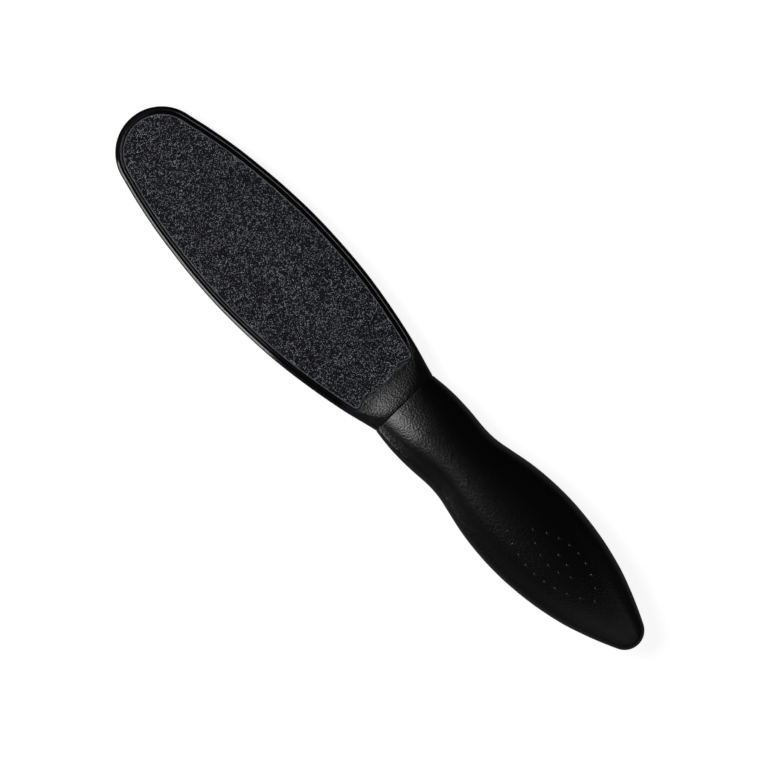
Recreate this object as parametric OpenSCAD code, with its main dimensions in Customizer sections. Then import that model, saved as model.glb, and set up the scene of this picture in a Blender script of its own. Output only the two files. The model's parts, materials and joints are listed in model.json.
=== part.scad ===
// Foot file: a two-sided paddle file with a soft grip moulded over its tang.
// The file is drawn flat, with its tip at x = 0 and its middle plane at z = 0,
// and is then laid down as it rests on a table, on the tip of the head and the belly of the grip.

/* [Head] */
// Length of the head and neck, from the tip to the crease where the grip begins
head_len = 129.6; // [115:0.1:155]
// Greatest width of the head
head_w = 44; // [38:0.5:52]
// Thickness of the head over both lips
head_t = 6.2; // [5:0.1:8]
// Radius of the rounded tip
nose_r = 15.3; // [12.5:0.1:18.5]
// Angle between the file's axis and the side where the tip's arc ends
nose_angle = 13; // [8:0.5:18]

/* [Rim] */
// Width of the rim's outer bevel, from the outline to the lip
bevel_w = 1; // [0.8:0.05:1.2]
// Height of the bevel
bevel_h = 0.78; // [0.6:0.01:1]
// Draft of the outer wall, from the parting line to the bevel
wall_draft = 0.1; // [0.02:0.01:0.2]
// Width of the lip, which falls towards the channel
lip_w = 0.4; // [0.3:0.05:0.5]
// How far the lip falls
lip_fall = 0.2; // [0.1:0.01:0.3]
// Width of the channel inside the lip
channel_w = 0.35; // [0.25:0.05:0.5]
// Depth of the channel below the lip
channel_depth = 0.5; // [0.4:0.01:0.6]
// Width of the low bead between the channel and the pad's groove
bead_w = 0.5; // [0.4:0.05:0.6]
// Height of the bead over the channel
bead_h = 0.18; // [0.1:0.01:0.25]
// Length over which the channel and the bead die away towards the neck
fade_len = 5; // [4:0.5:7]

/* [Pads] */
// Width of the open groove between the bead and the pad
groove_w = 0.45; // [0.35:0.05:0.6]
// Length of the neck, from the end of the pads to the crease
neck_len = 8.7; // [7:0.1:11]
// Radius of the two rounded ears at the pad's end
ear_r = 1.3; // [1.1:0.05:1.6]
// How far the ears stop short of the arc between them
ear_back = 0.3; // [0.1:0.05:0.5]
// Width of the groove behind an ear
ear_gap = 0.4; // [0.3:0.05:0.5]
// Radius of the arc between the ears
bulge_r = 15.3; // [12:0.1:19]
// Distance between the two notches beside that arc
notch_span = 14.8; // [12:0.1:17]
// Clearance between the arc and the neck
arc_gap = 0.08; // [0.05:0.01:0.15]
// How far the abrasive stands above the lip
pad_rise = 0.1; // [0.05:0.01:0.13]
// Thickness of the coarse abrasive layer
coarse_grit_t = 0.5; // [0.4:0.05:0.6]
// Thickness of the fine abrasive layer
fine_grit_t = 0.3; // [0.2:0.05:0.4]
// Thickness of each backing sheet
backing_t = 0.45; // [0.35:0.05:0.55]
// Thickness of each film of adhesive
adhesive_t = 0.15; // [0.1:0.01:0.2]

/* [Neck] */
// Width of the neck at the crease
neck_w = 26; // [22:0.5:31]
// Thickness of the neck at the crease
neck_t = 10; // [8.5:0.1:11.5]
// Height of the neck's crown over the lip, in the middle of the pads' end
crown_h = 0.45; // [0.2:0.05:0.7]

/* [Grip] */
// Length of the grip
grip_len = 110.4; // [98:0.1:132]
// Width of the grip's front bulge, under the thumb
thumb_w = 27.8; // [24:0.1:33]
// Width of the grip's waist
waist_w = 26.3; // [22:0.1:31]
// Width of the grip's belly, in the palm
belly_w = 34.6; // [29:0.1:41]
// Thickness of the grip's belly
belly_t = 16.6; // [14:0.1:20]
// Radius of the rounded end
end_r = 6.5; // [5.4:0.1:7.8]
// Thickness of the grip where its rounded end begins
end_t = 7.8; // [6.4:0.1:9.4]

/* [Grip dots] */
// Diameter of one raised dot
dot_d = 1.2; // [0.9:0.05:1.4]
// Height of one raised dot
dot_h = 0.18; // [0.12:0.01:0.25]

/* [Tang] */
// Length of the tang inside the grip
tang_len = 86; // [70:1:92]
// Width of the tang at the crease
tang_w = 16; // [13:0.5:19]
// Width of the tang near its end
tang_end_w = 11; // [9:0.5:13]
// Thickness of the tang
tang_t = 5; // [4:0.1:6]
// Diameter of the locking holes that the grip is moulded through
lock_hole_d = 5.5; // [4.5:0.1:6.6]
// Number of locking holes
lock_holes = 4; // [2:1:5]
// Depth of the crease, where the grip's front edge turns in
crease_depth = 0.2; // [0.1:0.05:0.4]
// Length of that turned edge
crease_len = 0.5; // [0.3:0.05:0.8]
// Bond line between the grip and the frame
bond_gap = 0.05; // [0.03:0.01:0.1]

/* [Hidden] */

// Colours of the moulded plastic, the soft grip and the pad's layers
plastic_colour = "#18181a";
grip_colour = "#121213";
adhesive_colour = "#cfc8b4";
backing_colour = "#3b3a3c";
coarse_colour = "#3c3d42";
fine_colour = "#33343a";

// How far a cut or a root runs past the face that it crosses
overrun = tang_t / 5;
// Steps along the tip's arc, the head's sides, their last part towards the neck, the neck,
// the grip and the grip's end
nose_steps = 14;
side_steps = 25;
fade_steps = 5;
neck_steps = 10;
grip_steps = 38;
end_steps = 7;
// Steps round an ear, from an ear to its notch, along half of the arc between the notches,
// and over the grip
ear_steps = 6;
flank_steps = 4;
bulge_steps = 12;
oval_steps = 32;
// Faces round a locking hole and a dot
hole_faces = 40;
dot_faces = 24;

// Fullness of the sections: 2 is an ellipse, and more is squarer
neck_power = 2.3;
grip_power = 2.15;

// Half width of the head's side: share of head_len, and share of head_w / 2
head_side_shares = [[0.160, 0.774], [0.240, 0.864], [0.320, 0.927], [0.400, 0.973],
                    [0.500, 1.000], [0.610, 0.985], [0.710, 0.938], [0.810, 0.850],
                    [0.910, 0.731]];
// Plan of the grip: share of grip_len, the width that rules there, and share of that width
grip_plan_shares = [[0.000, neck_w, 1.000], [0.060, thumb_w, 0.988], [0.107, thumb_w, 1.000],
                    [0.155, thumb_w, 0.988], [0.229, waist_w, 1.000], [0.274, waist_w, 1.021],
                    [0.322, waist_w, 1.100], [0.392, belly_w, 0.928], [0.464, belly_w, 0.982],
                    [0.535, belly_w, 1.000], [0.607, belly_w, 0.981], [0.702, belly_w, 0.905],
                    [0.797, belly_w, 0.767], [0.868, belly_w, 0.612], [0.916, belly_w, 0.487]];
// Side view of the grip: share of grip_len, the thickness that rules there, and its share
grip_rise_shares = [[0.000, neck_t, 1.000], [0.060, belly_t, 0.735], [0.120, belly_t, 0.830],
                    [0.230, belly_t, 0.915], [0.370, belly_t, 0.975], [0.535, belly_t, 1.000],
                    [0.700, belly_t, 0.955], [0.800, belly_t, 0.860], [0.870, belly_t, 0.745],
                    [0.920, belly_t, 0.630]];
// Of the lip's width, its level part, of the channel's width, the foot of its outer wall,
// and of the bead's width, its sloping flank
lip_level_share = 0.125;
channel_wall_share = 0.29;
bead_flank_share = 0.6;
// What is left of the channel and the bead round the pads' lobed end
fade_share = 0.12;
// How much of the way from the ears to the crease the neck takes to rise, in its middle
// and along its edges
middle_reach_share = 1.02;
edge_reach_share = 0.6;
// Slope of the sides where the grip's rounded end begins
end_slope = -0.5;
// The dots lie on four arcs that wind inwards, each bowed to one side. A row holds the arc's
// start and end as shares of grip_len and belly_w, its bow as a share of belly_w, and its dots
dot_arc_shares = [[0.490, -0.138, 0.821, -0.008, -0.165, 10],
                  [0.793, 0.084, 0.539, 0.043, 0.137, 8],
                  [0.574, -0.029, 0.720, -0.014, -0.066, 5],
                  [0.685, 0.041, 0.647, 0.052, 0, 2]];
// Where the first and last locking holes lie along the tang
lock_first_share = 0.16;
lock_last_share = 0.86;

// Heights and places that follow from the sizes above
lip_z = head_t / 2;
wall_inset = bevel_w + lip_w + channel_w + bead_w;
pad_inset = wall_inset + groove_w;
pad_top = lip_z + pad_rise;
pad_end = head_len - neck_len;
coarse_floor = pad_top - coarse_grit_t - backing_t - adhesive_t;
fine_floor = pad_top - fine_grit_t - backing_t - adhesive_t;
dot_r = (pow(dot_d / 2, 2) + pow(dot_h, 2)) / (2 * dot_h);
// A step short enough to take a slope over
probe = head_len / 10000;

// Value between a and b
function mix(a, b, share) = a + (b - a) * share;
// Smooth step from 0 to 1
function ease(share) = let (s = min(1, max(0, share))) s * s * (3 - 2 * s);

// Slope at point i of a table of [x, y], where first and last give the slopes of its ends
function knot_slope(table, i, first, last) =
    i == 0 ? first : i == len(table) - 1 ? last
    : (table[i + 1][1] - table[i - 1][1]) / (table[i + 1][0] - table[i - 1][0]);
// Smooth curve through a table of [x, y]
function curve(table, x, first, last) =
    let (i = max([for (k = [0 : len(table) - 2]) if (k == 0 || table[k][0] <= x) k]),
         span = table[i + 1][0] - table[i][0],
         s = (x - table[i][0]) / span,
         from = span * knot_slope(table, i, first, last),
         to = span * knot_slope(table, i + 1, first, last))
    mix(table[i][1], table[i + 1][1], ease(s))
    + from * s * (1 - s) * (1 - s) - to * s * s * (1 - s);

// Triangles are given clockwise as seen from outside
function band(a, b) =
    [for (k = [0 : len(a) - 2]) each [[a[k], b[k + 1], a[k + 1]], [a[k], b[k], b[k + 1]]]];
function fan(centre, row) = [for (k = [0 : len(row) - 2]) [centre, row[k + 1], row[k]]];
function closed(row) = concat(row, [row[0]]);
function reversed(list) = [for (k = [len(list) - 1 : -1 : 0]) list[k]];
function joined(lists) = [for (list = lists) each list];
// The same triangles under the middle plane
function under(point) = [point[0], point[1], point[2] == 0 ? 0 : -point[2]];
function mirrored(triangles) = [for (t = triangles) [under(t[0]), under(t[2]), under(t[1])]];
function at_height(outline, z) = [for (p = outline) [p[0], p[1], z]];
module skin(triangles) {
    polyhedron(points = joined(triangles),
               faces = [for (k = [0 : len(triangles) - 1]) [3 * k, 3 * k + 1, 3 * k + 2]],
               convexity = 6);
}

// Head: its tip is an arc and its sides are a smooth curve down to the crease
nose_x = nose_r * (1 - sin(nose_angle));
neck_slope = -0.24;
head_side = concat([[nose_x, nose_r * cos(nose_angle)]],
                   [for (row = head_side_shares) [row[0] * head_len, row[1] * head_w / 2]],
                   [[head_len, neck_w / 2]]);
function head_half_w(x) = curve(head_side, x, tan(nose_angle), neck_slope);
function head_slope(x) = (head_half_w(x + probe) - head_half_w(x - probe)) / (2 * probe);
// A point of the head's side and its inward normal, side 1 for +Y and -1 for -Y
function side_frame(x, side) =
    let (slope = head_slope(x), size = sqrt(1 + slope * slope))
    [[x, side * head_half_w(x)], [slope / size, -side / size]];
// The same on the tip's arc, at an angle from the file's axis
function nose_frame(angle) =
    [[nose_r * (1 - cos(angle)), nose_r * sin(angle)], [cos(angle), -sin(angle)]];

// Where the pocket's ears leave the head's sides, and the centre that all rows round an ear share.
// The pad's own ear lies further back by ear_shift, which narrows the groove behind it
ear_inset = pad_inset + ear_r;
ear_shift = groove_w - ear_gap;
ear_end = pad_end - ear_back - ear_r - ear_shift;
ear_x = ear_end - ear_inset * side_frame(ear_end, 1)[1][0];
ear_frame = side_frame(ear_x, 1);
ear_centre = ear_frame[0] + ear_inset * ear_frame[1];

// The head's outline from (ear_x, +Y) round the tip to (ear_x, -Y), as points and normals
fade_x = ear_x - fade_len;
side_x = concat([for (k = [1 : side_steps]) mix(nose_x, fade_x, k / side_steps)],
                [for (k = [1 : fade_steps]) mix(fade_x, ear_x, k / fade_steps)]);
head_path = concat([for (x = reversed(side_x)) side_frame(x, 1)],
                   [for (k = [nose_steps : -1 : -nose_steps])
                       nose_frame((90 - nose_angle) * k / nose_steps)],
                   [for (x = side_x) side_frame(x, -1)]);
// That outline moved inwards
function head_row(inset) = [for (f = head_path) f[0] + inset * f[1]];

// The three-lobed end of a pad on the +Y side, from the rim to the axis, with arc radius arc_r
// and its ear moved back by shift
function lobe(inset, arc_r, shift) =
    let (r = ear_inset - inset,
         centre = ear_centre + [shift, 0],
         notch_angle = asin(notch_span / 2 / arc_r),
         middle = [pad_end - bulge_r, 0],
         away = middle + arc_r * [cos(notch_angle), sin(notch_angle)] - centre,
         from = atan2(-ear_frame[1][1], -ear_frame[1][0]),
         to = atan2(away[1], away[0]) + acos(r / norm(away)),
         flank = centre + r * [cos(to), sin(to)])
    concat([for (k = [1 : ear_steps]) let (a = mix(from, to, k / ear_steps))
               centre + r * [cos(a), sin(a)]],
           [for (k = [1 : flank_steps - 1]) mix(flank, centre + away, k / flank_steps)],
           [for (k = [0 : bulge_steps]) let (a = notch_angle * (1 - k / bulge_steps))
               middle + arc_r * [cos(a), sin(a)]]);
// The whole end from -Y to +Y
function lobed_row(inset, arc_r, shift = 0) =
    let (half = lobe(inset, arc_r, shift), last = len(half) - 1)
    concat([for (p = half) [p[0], -p[1]]], [for (k = [last - 1 : -1 : 0]) half[k]]);
// Outline of a pad or a pocket
function pad_row(inset, arc_r, shift = 0) =
    concat(head_row(inset), lobed_row(inset, arc_r, shift));
wall_arc = bulge_r + arc_gap;

// Section of the rim from the parting line up to the lip: how far in, and how high
rim_section = [[0, 0], [wall_draft, lip_z - bevel_h], [bevel_w, lip_z]];
rim_last = len(rim_section) - 1;
// Angles round the neck's oval where the rim's lines end
rim_angles = [0, 14, 30];
// The rim's inner section, from the lip to the pocket's wall: how far in, and how deep
channel_x = bevel_w + lip_w;
bead_x = channel_x + channel_w;
inner_section = [[bevel_w + lip_w * lip_level_share, 0], [channel_x, lip_fall],
                 [channel_x + channel_w * channel_wall_share, channel_depth],
                 [bead_x, channel_depth], [bead_x + bead_w * bead_flank_share, channel_depth - bead_h],
                 [wall_inset, channel_depth - bead_h]];

// Half a superellipse at an angle from the +Y side, and its height at y
function oval(half_w, half_t, power, angle) =
    [half_w * sign(cos(angle)) * pow(abs(cos(angle)), 2 / power),
     half_t * sign(sin(angle)) * pow(abs(sin(angle)), 2 / power)];
function oval_z(half_w, half_t, power, y) =
    half_t * pow(1 - pow(min(1, abs(y) / half_w), power), 1 / power);

// How far the neck has risen at x, from 0 at the ears to 1 at the crease. It rises soonest
// along its edges (v = 1 or -1) and last in its middle (v = 0)
function neck_rise(x, v) =
    let (reach = mix(middle_reach_share, edge_reach_share, pow(v, 4)))
    ease((x - ear_x) / (head_len - ear_x) / reach) / ease(1 / reach);
// The crown that the neck's middle starts with, which the rise takes up
function crown(x, v) =
    crown_h * pow(1 - v * v, 2) * ease((x - ear_x) / (pad_end - ear_x)) * (1 - neck_rise(x, v));
// A line of the rim, carried on over the neck to x
function neck_rim(x, side, j) =
    let (f = side_frame(x, side),
         flat = f[0] + rim_section[j][0] * f[1],
         round = oval(head_half_w(x), neck_t / 2, neck_power, rim_angles[j]),
         rise = neck_rise(x, 1))
    [mix(flat[0], x, rise), mix(flat[1], side * round[0], rise),
     mix(rim_section[j][1], round[1], rise)];
// The neck's top between its edges, at share v of its half width
edge_y = neck_rim(ear_x, 1, rim_last)[1];
crease_y = neck_rim(head_len, 1, rim_last)[1];
function neck_z(x, v) =
    mix(lip_z, oval_z(neck_w / 2, neck_t / 2, neck_power, v * crease_y), neck_rise(x, v))
    + crown(x, v);
// A row of the neck at share s of its length, over the top from the parting line at +Y to the
// one at -Y. It starts as the end of the pocket and straightens out into the crease
function neck_row(s, starts) =
    let (rim_x = mix(ear_x, head_len, s), half = neck_rim(rim_x, 1, rim_last)[1])
    concat([for (j = [0 : rim_last]) neck_rim(rim_x, 1, j)],
           s == 0 ? starts
           : [for (p = starts) let (x = mix(p[0], head_len, s), v = p[1] / edge_y)
                 [x, v * half, neck_z(x, v)]],
           [for (j = [rim_last : -1 : 0]) neck_rim(rim_x, -1, j)]);

// A line of the inner section: round the tip it lies as the section says, and round the lobed
// end it is drawn close to the pocket's wall and up to the neck
function inner_side(part) =
    [for (f = head_path)
        let (full = mix(fade_share, 1, ease((ear_x - f[0][0]) / fade_len)),
             place = f[0] + mix(wall_inset, part[0], full) * f[1])
        [place[0], place[1], lip_z - part[1] * full]];
function inner_end(part) =
    let (drawn = (wall_inset - part[0]) * fade_share)
    [for (p = lobed_row(wall_inset - drawn, wall_arc + drawn))
        [p[0], p[1], neck_z(p[0], p[1] / edge_y) - part[1] * fade_share]];

// Upper half of the head and neck, with a pocket as deep as floor_z
function head_half(floor_z) =
    let (rims = [for (s = rim_section) at_height(head_row(s[0]), s[1])],
         inner = [for (part = inner_section) closed(concat(inner_side(part), inner_end(part)))],
         walls = concat(inner, [at_height(inner[len(inner) - 1], floor_z)]),
         lip_side = inner_side(inner_section[0]),
         inner_start = reversed(inner[0]),
         starts = [for (k = [0 : len(inner_start) - len(lip_side)]) inner_start[k]],
         rows = [for (k = [0 : neck_steps]) neck_row(k / neck_steps, starts)])
    concat(joined([for (j = [0 : rim_last - 1]) band(rims[j], rims[j + 1])]),
           band(rims[rim_last], lip_side),
           joined([for (j = [0 : len(walls) - 2]) band(walls[j], walls[j + 1])]),
           fan([head_len / 2, 0, floor_z], walls[len(walls) - 1]),
           joined([for (k = [0 : neck_steps - 1]) band(rows[k], rows[k + 1])]),
           fan([head_len, 0, 0], rows[neck_steps]));

// Widths and thicknesses of the grip at x from the crease
end_angle = 90 + atan(end_slope);
end_x = grip_len - end_r * (1 - cos(end_angle));
grip_plan = concat([for (row = grip_plan_shares) [row[0] * grip_len, row[1] * row[2] / 2]],
                   [[end_x, end_r * sin(end_angle)]]);
grip_rise = concat([for (row = grip_rise_shares) [row[0] * grip_len, row[1] * row[2] / 2]],
                   [[end_x, end_t / 2]]);
// Slopes of the plan and of the side view at the crease
crease_slope = 0.13;
crease_rise = 0.2;
end_rise = end_slope * end_t / 2 / (end_r * sin(end_angle));
function end_arc(x) = sqrt(max(0, end_r * end_r - pow(x - grip_len + end_r, 2)));
function grip_half_w(x) =
    x < end_x ? curve(grip_plan, x, crease_slope, end_slope) : end_arc(x);
function grip_half_t(x) =
    x < end_x ? curve(grip_rise, x, crease_rise, end_rise)
    : end_arc(x) * end_t / 2 / (end_r * sin(end_angle));
function grip_fullness(x) = mix(neck_power, grip_power, ease(x / (grip_len / 4)));
// Stations along the grip, from its turned front edge to just short of its end point
grip_xs = concat([bond_gap, crease_len / 2],
                 [for (k = [0 : grip_steps]) mix(crease_len, end_x, k / grip_steps)],
                 [for (k = [1 : end_steps - 1])
                     grip_len - end_r * (1 - cos(end_angle * (1 - k / end_steps)))]);
function turned_in(x) = crease_depth * pow(1 - min(1, (x - bond_gap) / crease_len), 2);
// Height of the grip's surface at a place
function grip_z(x, y) = oval_z(grip_half_w(x), grip_half_t(x), grip_fullness(x), y);

// One row over the grip, from the parting line at +Y to the one at -Y
function grip_row(x) =
    [for (k = [0 : oval_steps])
        let (p = oval(grip_half_w(x) - turned_in(x), grip_half_t(x) - turned_in(x),
                      grip_fullness(x), 180 * k / oval_steps))
        [head_len + x, p[0], k == 0 || k == oval_steps ? 0 : p[1]]];
grip_rows = [for (x = grip_xs) grip_row(x)];
grip_half = concat(
    fan([head_len + bond_gap, 0, 0], reversed(grip_rows[0])),
    joined([for (k = [0 : len(grip_rows) - 2]) band(grip_rows[k], grip_rows[k + 1])]),
    fan([head_len + grip_len, 0, 0], grip_rows[len(grip_rows) - 1]));

// Places of the dots on one face of the grip
dot_places = joined([for (row = dot_arc_shares)
    let (count = row[5])
    [for (k = [0 : count - 1])
        let (s = k / (count - 1))
        [mix(row[0], row[2], s) * grip_len,
         (mix(row[1], row[3], s) + row[4] * 4 * s * (1 - s)) * belly_w]]]);
// One raised dot, a low dome square to the grip's surface
module dot(place) {
    x = place[0];
    y = place[1];
    z = grip_z(x, y);
    lean_x = atan((grip_z(x + probe, y) - grip_z(x - probe, y)) / (2 * probe));
    lean_y = atan((grip_z(x, y + probe) - grip_z(x, y - probe)) / (2 * probe));
    translate([head_len + x, y, z])
        rotate([lean_y, -lean_x, 0])
            translate([0, 0, dot_h - dot_r])
                sphere(dot_r, $fn = dot_faces);
}

// Bar inside the grip with its locking holes, grown by a gap for the grip's cavity
module tang(gap) {
    reach = tang_len + gap;
    round_r = tang_end_w / 2 + gap;
    first = -overrun;
    difference() {
        translate([head_len, 0, -tang_t / 2 - gap])
            linear_extrude(tang_t + 2 * gap) {
                polygon([[first, tang_w / 2 + gap], [reach - round_r, round_r],
                         [reach - round_r, -round_r], [first, -tang_w / 2 - gap]]);
                translate([reach - round_r, 0])
                    circle(round_r, $fn = hole_faces);
            }
        for (k = [0 : lock_holes - 1])
            translate([head_len + tang_len * mix(lock_first_share, lock_last_share,
                                                 k / (lock_holes - 1)), 0, 0])
                cylinder(h = tang_t + 2 * overrun, r = lock_hole_d / 2 - gap, center = true,
                         $fn = hole_faces);
    }
}

// How far the file leans as it lies on a table: the line under the tip and the belly
nose_contacts = [[bevel_w, lip_z], [pad_inset, pad_top]];
lean = min([for (c = nose_contacts)
    max([for (x = grip_xs) atan2(grip_half_t(x) - c[1], head_len + x - c[0])])]);
lying_contacts = concat(nose_contacts, [for (x = grip_xs) [head_len + x, grip_half_t(x)]]);
lift = max([for (c = lying_contacts) c[1] * cos(lean) - c[0] * sin(lean)]);
half_len = (head_len + grip_len) * cos(lean) / 2;
// Lays the file down on z = 0, centred over the origin
module lying() {
    translate([-half_len, 0, lift])
        rotate([0, -lean, 0])
            children();
}

// One layer of a pad between two heights, above the middle plane (up 1) or under it (up -1)
pad_outline = pad_row(pad_inset, bulge_r, ear_shift);
module layer(up, low, high) {
    translate([0, 0, up > 0 ? low : -high])
        linear_extrude(high - low)
            polygon(pad_outline);
}

// Rigid moulding: head with a pocket on each face, neck, and tang inside the grip
module frame() {
    color(plastic_colour)
        lying() {
            skin(concat(head_half(coarse_floor), mirrored(head_half(fine_floor))));
            tang(0);
        }
}
// Soft grip moulded round the tang
module grip() {
    color(grip_colour)
        lying()
            difference() {
                union() {
                    skin(concat(grip_half, mirrored(grip_half)));
                    for (place = dot_places) {
                        dot(place);
                        mirror([0, 0, 1])
                            dot(place);
                    }
                }
                tang(bond_gap);
            }
}
module coarse_adhesive() {
    color(adhesive_colour)
        lying()
            layer(1, coarse_floor, coarse_floor + adhesive_t);
}
module coarse_backing() {
    color(backing_colour)
        lying()
            layer(1, coarse_floor + adhesive_t, pad_top - coarse_grit_t);
}
module coarse_grit() {
    color(coarse_colour)
        lying()
            layer(1, pad_top - coarse_grit_t, pad_top);
}
module fine_adhesive() {
    color(adhesive_colour)
        lying()
            layer(-1, fine_floor, fine_floor + adhesive_t);
}
module fine_backing() {
    color(backing_colour)
        lying()
            layer(-1, fine_floor + adhesive_t, pad_top - fine_grit_t);
}
module fine_grit() {
    color(fine_colour)
        lying()
            layer(-1, pad_top - fine_grit_t, pad_top);
}

frame();
grip();
coarse_adhesive();
coarse_backing();
coarse_grit();
fine_adhesive();
fine_backing();
fine_grit();
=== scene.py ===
"""Looks of a two-sided foot file: its moulded head, its soft grip and its abrasive pads.

Each sub-assembly is a class. It works in the file's own flat frame, in millimetres, with the tip
of the head at x = 0 and the middle plane at z = 0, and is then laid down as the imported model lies.
"""

import json
import logging
import math
from dataclasses import dataclass, field
from enum import Enum

import bmesh
import bpy
import numpy as np
from bpy.types import ID, Material, Node, NodeSocket, NodeTree, Object
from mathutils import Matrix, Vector

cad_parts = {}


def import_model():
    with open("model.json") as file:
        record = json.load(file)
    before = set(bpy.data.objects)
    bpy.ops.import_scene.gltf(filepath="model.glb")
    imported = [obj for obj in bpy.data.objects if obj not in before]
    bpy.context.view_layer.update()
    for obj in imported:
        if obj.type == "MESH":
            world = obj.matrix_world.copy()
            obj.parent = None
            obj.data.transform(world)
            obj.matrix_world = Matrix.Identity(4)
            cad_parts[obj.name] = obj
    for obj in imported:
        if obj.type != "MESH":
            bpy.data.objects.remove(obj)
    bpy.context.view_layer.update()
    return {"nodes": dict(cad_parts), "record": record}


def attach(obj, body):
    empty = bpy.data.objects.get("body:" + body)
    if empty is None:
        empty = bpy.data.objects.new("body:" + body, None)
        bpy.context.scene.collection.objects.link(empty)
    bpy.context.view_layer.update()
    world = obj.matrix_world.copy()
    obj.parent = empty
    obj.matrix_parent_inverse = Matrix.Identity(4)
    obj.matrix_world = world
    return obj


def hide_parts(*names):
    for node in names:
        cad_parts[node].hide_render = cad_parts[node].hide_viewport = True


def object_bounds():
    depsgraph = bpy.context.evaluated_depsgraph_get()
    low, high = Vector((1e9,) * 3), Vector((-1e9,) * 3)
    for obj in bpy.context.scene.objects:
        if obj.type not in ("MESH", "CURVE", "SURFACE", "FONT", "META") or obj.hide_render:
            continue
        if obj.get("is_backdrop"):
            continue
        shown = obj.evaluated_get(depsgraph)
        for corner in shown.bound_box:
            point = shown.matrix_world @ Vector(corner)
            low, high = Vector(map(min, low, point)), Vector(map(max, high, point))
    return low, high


LOG = logging.getLogger("foot_file")
MM = 0.001
BODY = "root"
# Points of a skin that lie closer than this become one
MERGE_MM = 0.002
# A round reaches at most this share of the way to the next corner
ROUND_LIMIT = 0.49


class Face(Enum):
    """The two faces of the file: its sign along z, and the first word of its nodes."""

    COARSE = (1, "coarse")
    FINE = (-1, "fine")

    @property
    def up(self) -> int:
        """1 for the upper face and -1 for the lower one."""
        return self.value[0]

    @property
    def word(self) -> str:
        """The word that starts the names of the face's nodes."""
        return self.value[1]


def linear(hex_colour: str) -> tuple[float, float, float, float]:
    """Turns an sRGB hex colour into linear RGBA.

    Args:
        hex_colour: Six hex digits after a hash sign.

    Returns:
        Red, green, blue and alpha for a colour socket.
    """
    parts = [int(hex_colour[k : k + 2], 16) / 255 for k in (1, 3, 5)]
    return (*(c / 12.92 if c <= 0.04045 else ((c + 0.055) / 1.055) ** 2.4 for c in parts), 1.0)


def add_node(tree: NodeTree, kind: str, settings: dict | None = None,
             inputs: dict | None = None) -> Node:
    """Adds a node to a tree with its settings and its links.

    Args:
        tree: The tree that gets the node.
        kind: The node's bl_idname.
        settings: Properties of the node itself.
        inputs: Socket name or number to a plain value, to the output socket that feeds it, or
            to the node whose first output does.

    Returns:
        The new node.
    """
    node = tree.nodes.new(kind)
    for key, value in (settings or {}).items():
        setattr(node, key, value)
    for key, value in (inputs or {}).items():
        if isinstance(value, Node):
            value = value.outputs[0]
        if isinstance(value, NodeSocket):
            tree.links.new(value, node.inputs[key])
        else:
            node.inputs[key].default_value = value
    return node


def link_object(name: str, data: ID) -> Object:
    """Makes an object of its data and links it to the scene.

    Args:
        name: The object's name.
        data: A mesh, a lamp or a camera.

    Returns:
        The object, at the origin.
    """
    obj = bpy.data.objects.new(name, data)
    bpy.context.scene.collection.objects.link(obj)
    return obj


@dataclass(frozen=True)
class SmoothCurve:
    """A smooth curve through a few chosen points, with a given slope at each end."""

    knots: tuple[tuple[float, float], ...]
    first_slope: float
    last_slope: float

    def at(self, x: np.ndarray) -> np.ndarray:
        """Follows the curve.

        Args:
            x: Places along the curve.

        Returns:
            Its height at each of them.
        """
        table = np.array(self.knots)
        slopes = np.empty(len(table))
        slopes[1:-1] = (table[2:, 1] - table[:-2, 1]) / (table[2:, 0] - table[:-2, 0])
        slopes[0], slopes[-1] = self.first_slope, self.last_slope
        i = np.clip(np.searchsorted(table[:, 0], x, side="right") - 1, 0, len(table) - 2)
        span = table[i + 1, 0] - table[i, 0]
        s = (x - table[i, 0]) / span
        rise = table[i, 1] + (table[i + 1, 1] - table[i, 1]) * ease(s)
        return rise + span * (slopes[i] * s * (1 - s) ** 2 - slopes[i + 1] * s * s * (1 - s))


def ease(share: np.ndarray) -> np.ndarray:
    """A smooth step from 0 to 1."""
    s = np.clip(share, 0, 1)
    return s * s * (3 - 2 * s)


def oval(half_w: np.ndarray, half_t: np.ndarray, power: np.ndarray,
         angle: np.ndarray) -> np.ndarray:
    """Points of a superellipse.

    Args:
        half_w: Half width along y.
        half_t: Half thickness along z.
        power: Fullness, where 2 is an ellipse and more is squarer.
        angle: Angles from +Y in radians.

    Returns:
        Array of (y, z) with the shape of the inputs.
    """
    c, s = np.cos(angle), np.sin(angle)
    return np.stack([half_w * np.sign(c) * np.abs(c) ** (2 / power),
                     half_t * np.sign(s) * np.abs(s) ** (2 / power)], -1)


def oval_z(half_w: float, half_t: float, power: float, y: np.ndarray) -> np.ndarray:
    """Height of a superellipse at y."""
    return half_t * (1 - np.minimum(1, np.abs(y) / half_w) ** power) ** (1 / power)


def at_height(row: np.ndarray, z: float) -> np.ndarray:
    """Gives points of (x, y) their height."""
    return np.column_stack([row, np.full(len(row), z)])


def rounded(corners: list[tuple[float, float]], radii: tuple[float, ...],
            steps: int) -> np.ndarray:
    """Rounds the inner corners of a polyline.

    Args:
        corners: The polyline's points.
        radii: How far before and after each inner corner its round begins.
        steps: Steps of one round.

    Returns:
        Array of points.
    """
    p = np.array(corners)
    out = [p[0]]
    for k, reach in enumerate(radii, start=1):
        before, after = p[k - 1] - p[k], p[k + 1] - p[k]
        start = p[k] + before * min(ROUND_LIMIT, reach / np.linalg.norm(before))
        end = p[k] + after * min(ROUND_LIMIT, reach / np.linalg.norm(after))
        for s in np.linspace(0, 1, steps + 1):
            out.append((1 - s) ** 2 * start + 2 * s * (1 - s) * p[k] + s * s * end)
    out.append(p[-1])
    return np.array(out)


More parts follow.
